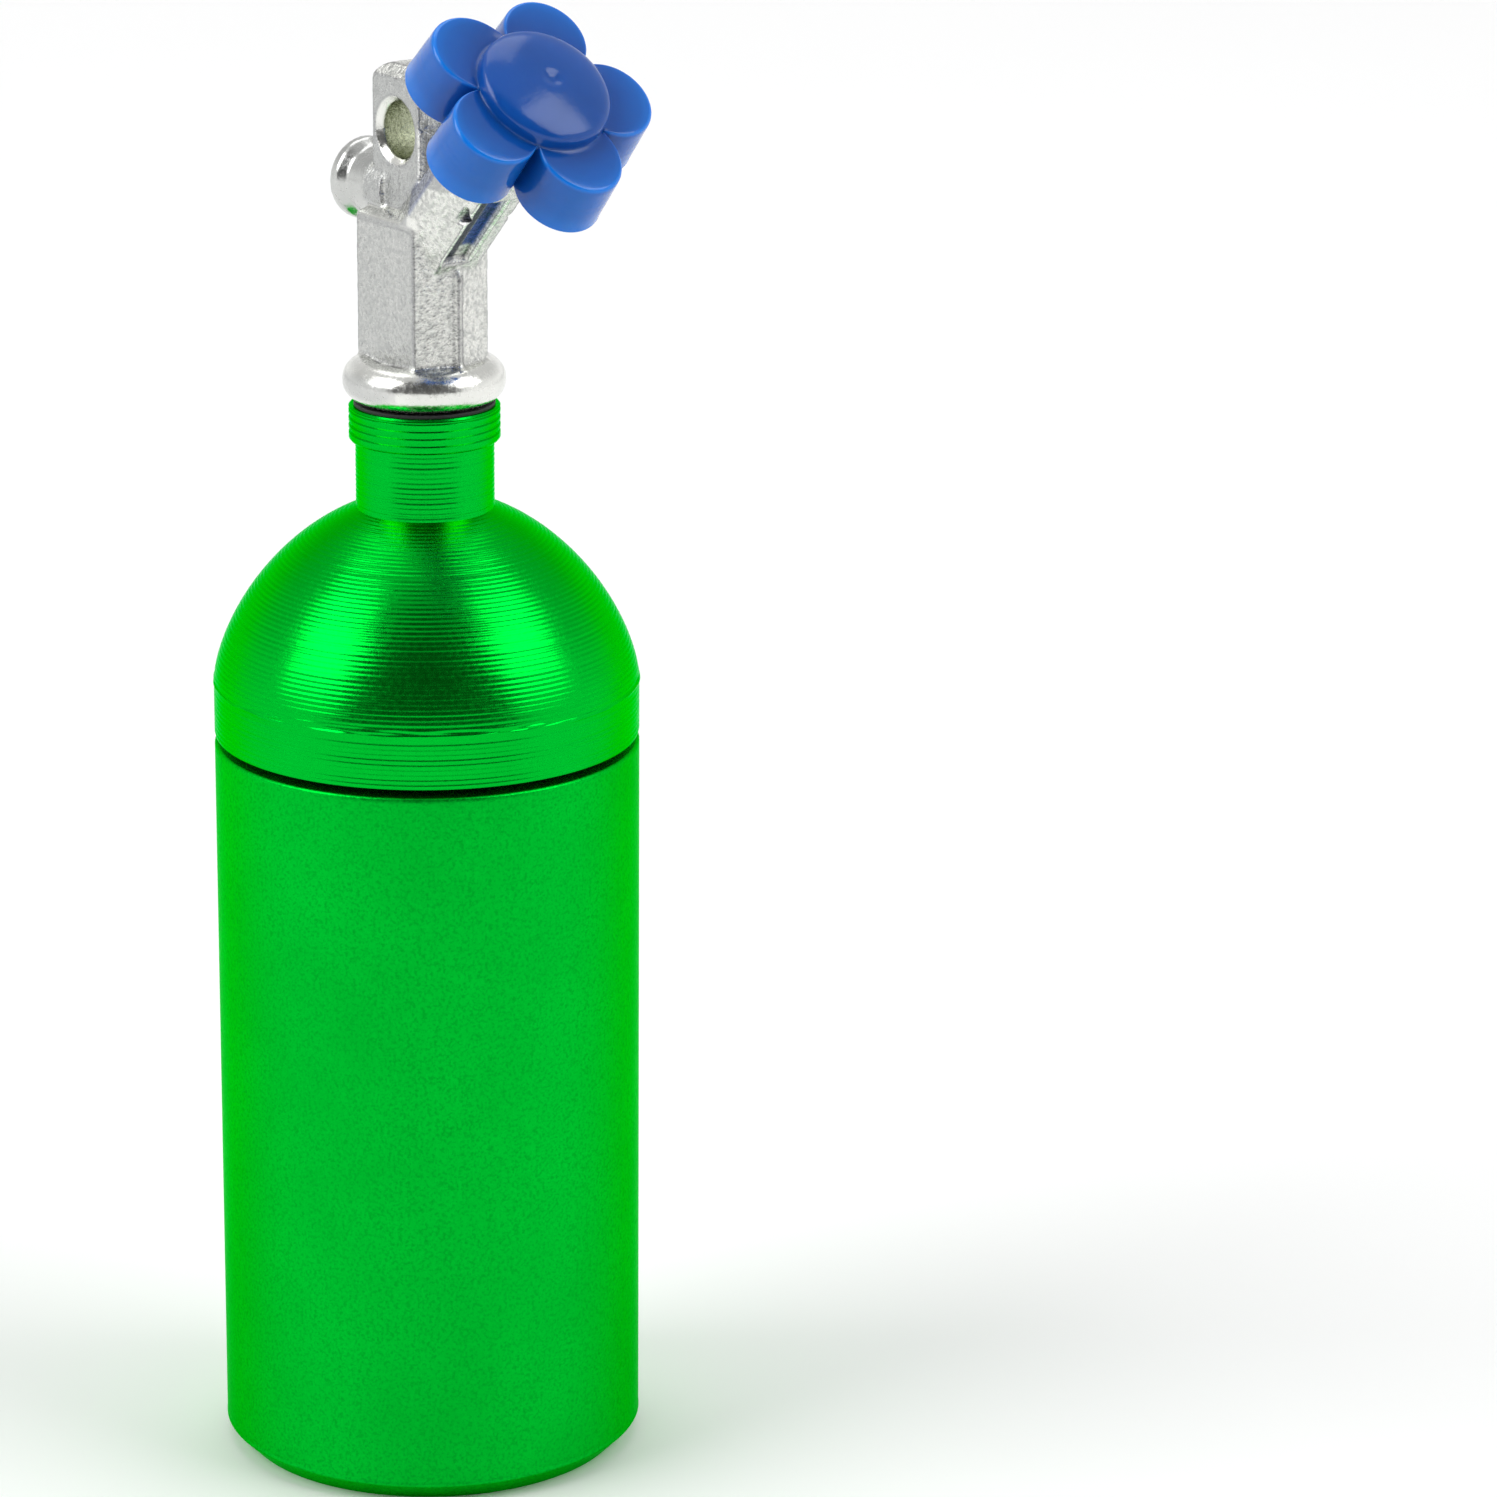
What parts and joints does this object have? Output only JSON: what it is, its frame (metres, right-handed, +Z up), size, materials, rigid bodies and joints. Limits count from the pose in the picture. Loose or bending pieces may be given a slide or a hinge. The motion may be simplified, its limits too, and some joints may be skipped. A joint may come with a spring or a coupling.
{
  "type": "miniature gas bottle container",
  "caption": "Small turned-metal container shaped like a gas bottle, with a threaded domed cap, a cast valve head with a key-ring eye, and a turning lobed handwheel.",
  "frame": {"origin": "centre of the flat base of the bottle", "axes": "+Z up the bottle axis towards the valve head; the handwheel branch leans towards -Y, the back stub points towards +Y"},
  "size_m": [0.02, 0.0235, 0.0707],
  "materials": {
    "anodised_green": "green anodised, bead-blasted side, fine lathe rings on the cap",
    "black_rubber": "matte",
    "white_foam": "soft closed-cell liner",
    "cast_chrome": "rough chrome-plated zinc casting",
    "steel": "plain",
    "blue_plastic": "moulded, slightly translucent, fine mould texture"
  },
  "bodies": {
    "bottle": {"bottle_body": "anodised_green", "body_o_ring": "black_rubber"},
    "liner": {"cap_liner": "white_foam"},
    "cap": {"cap_dome": "anodised_green", "neck_washer": "black_rubber", "valve_body": "cast_chrome", "valve_screw": "steel", "screw_washer": "steel"},
    "knob": {"handwheel": "blue_plastic", "handwheel_stem": "steel", "stem_o_ring": "black_rubber"}
  },
  "joints": [
    {"name": "cap_lift", "type": "slide", "parent": "bottle", "child": "liner", "axis": [0, 0, 1], "range_m": [0, 0.00525]},
    {"name": "cap_turn", "type": "hinge", "parent": "liner", "child": "cap", "pos_m": [0, 0, 0.035], "axis": [0, 0, 1], "range_deg": [0, 1260]},
    {"name": "knob_turn", "type": "hinge", "parent": "cap", "child": "knob", "pos_m": [0, 0, 0.05715], "axis": [0, -0.6871, 0.7266], "continuous": true}
  ],
  "couplings": [
    {"joint": "cap_lift", "follows": "cap_turn", "m_per_rad": 0.00023873}
  ]
}
